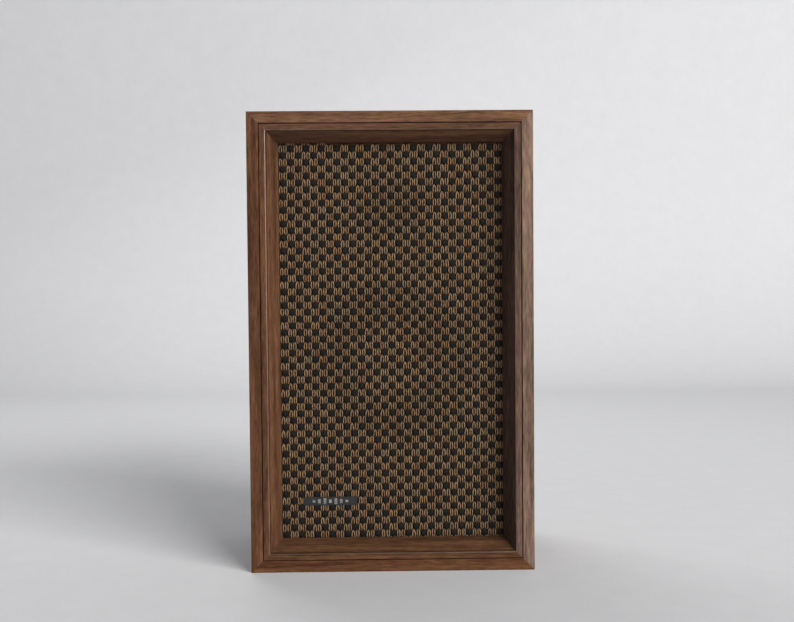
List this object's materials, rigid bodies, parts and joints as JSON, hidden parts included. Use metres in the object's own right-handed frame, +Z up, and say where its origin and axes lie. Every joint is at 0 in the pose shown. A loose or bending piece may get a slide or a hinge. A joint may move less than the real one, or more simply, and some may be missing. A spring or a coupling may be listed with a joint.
{
  "type": "bookshelf speaker",
  "caption": "Compact upright loudspeaker: mitred wooden case, recessed framed cloth grille that pulls off, a larger cone driver below a small one, and push-lever terminals on the back.",
  "frame": {"origin": "centre of the footprint on the surface that the case stands on", "axes": "+Z up along the height, -Y out of the grille, +X to the right seen from the front"},
  "size_m": [0.204, 0.13, 0.33],
  "materials": {
    "walnut": "satin oiled walnut veneer",
    "pine": "sawn softwood",
    "chipboard": "chipboard painted matt black on the front",
    "hardboard": "smooth brown hardboard",
    "grille_cloth": "coarse woven brown and black speaker cloth",
    "zinc_steel": "zinc plated",
    "black_screws": "black oxide",
    "black_plastic": "fine moulded texture",
    "red_plastic": "semi-gloss moulded",
    "brass": "tinned",
    "black_steel": "grey-black paint",
    "gasket_card": "black pressed card",
    "plated_steel": "yellow passivated plating",
    "ferrite": "ground ferrite",
    "cone_paper": "dark grey felted paper",
    "surround_cloth": "treated pleated cloth",
    "copper_coil": "enamelled copper wire",
    "badge_black": "satin black enamel",
    "badge_silver": "brushed",
    "wadding": "loose white polyester",
    "capacitor_can": "blue sleeve",
    "lead_insulation": "flexible insulation"
  },
  "bodies": {
    "cabinet": {"back_panel": "hardboard", "back_panel_screws": "zinc_steel", "cabinet_bottom": "walnut", "cabinet_left": "walnut", "cabinet_right": "walnut", "cabinet_top": "walnut", "capacitor_strap": "zinc_steel", "crossover_capacitor": "capacitor_can", "damping_wadding": "wadding", "front_baffle": "chipboard", "front_batten_bottom": "pine", "front_batten_left": "pine", "front_batten_right": "pine", "front_batten_top": "pine", "peg_sockets": "black_plastic", "rear_batten_bottom": "pine", "rear_batten_left": "pine", "rear_batten_right": "pine", "rear_batten_top": "pine", "terminal_contacts": "brass", "terminal_housing": "black_plastic", "terminal_screws": "zinc_steel", "tweeter_frame": "black_steel", "tweeter_gasket": "gasket_card", "tweeter_leads": "lead_insulation", "tweeter_magnet": "ferrite", "tweeter_screws": "black_screws", "tweeter_solder_tags": "brass", "tweeter_surround": "surround_cloth", "tweeter_top_plate": "plated_steel", "tweeter_yoke": "plated_steel", "woofer_frame": "black_steel", "woofer_gasket": "gasket_card", "woofer_leads": "lead_insulation", "woofer_magnet": "ferrite", "woofer_screws": "black_screws", "woofer_solder_tags": "brass", "woofer_spider": "surround_cloth", "woofer_surround": "surround_cloth", "woofer_top_plate": "plated_steel", "woofer_yoke": "plated_steel"},
    "grille": {"moulding_top": "walnut", "moulding_bottom": "walnut", "moulding_left": "walnut", "moulding_right": "walnut", "grille_board": "hardboard", "grille_cloth": "grille_cloth", "moulding_brads": "zinc_steel", "cloth_staples": "zinc_steel", "grille_pegs": "black_plastic", "badge_plate": "badge_black", "badge_bars": "badge_silver"},
    "woofer_diaphragm": {"woofer_cone": "cone_paper", "woofer_dust_cap": "cone_paper", "woofer_voice_coil": "copper_coil"},
    "tweeter_diaphragm": {"tweeter_cone": "cone_paper", "tweeter_dust_cap": "cone_paper", "tweeter_voice_coil": "copper_coil"},
    "lever_red": {"terminal_lever_red": "red_plastic"},
    "lever_black": {"terminal_lever_black": "black_plastic"}
  },
  "joints": [
    {"name": "grille_pull_off", "type": "slide", "parent": "cabinet", "child": "grille", "axis": [0, -1, 0], "range_m": [0, 0.06]},
    {"name": "woofer_cone_travel", "type": "slide", "parent": "cabinet", "child": "woofer_diaphragm", "axis": [0, -1, 0], "range_m": [-0.003, 0.003], "stiffness_N_per_m": 800, "deforming": ["woofer_surround", "woofer_spider"]},
    {"name": "tweeter_cone_travel", "type": "slide", "parent": "cabinet", "child": "tweeter_diaphragm", "axis": [0, -1, 0], "range_m": [-0.0005, 0.0005], "stiffness_N_per_m": 800, "deforming": ["tweeter_surround"]},
    {"name": "terminal_lever_red_press", "type": "hinge", "parent": "cabinet", "child": "lever_red", "pos_m": [0.012, 0.0565, 0.0795], "axis": [-1, 0, 0], "range_deg": [0, 15], "stiffness_Nm_per_rad": 0.02, "springref_deg": -9.74},
    {"name": "terminal_lever_black_press", "type": "hinge", "parent": "cabinet", "child": "lever_black", "pos_m": [-0.012, 0.0565, 0.0795], "axis": [-1, 0, 0], "range_deg": [0, 15], "stiffness_Nm_per_rad": 0.02, "springref_deg": -9.74}
  ]
}
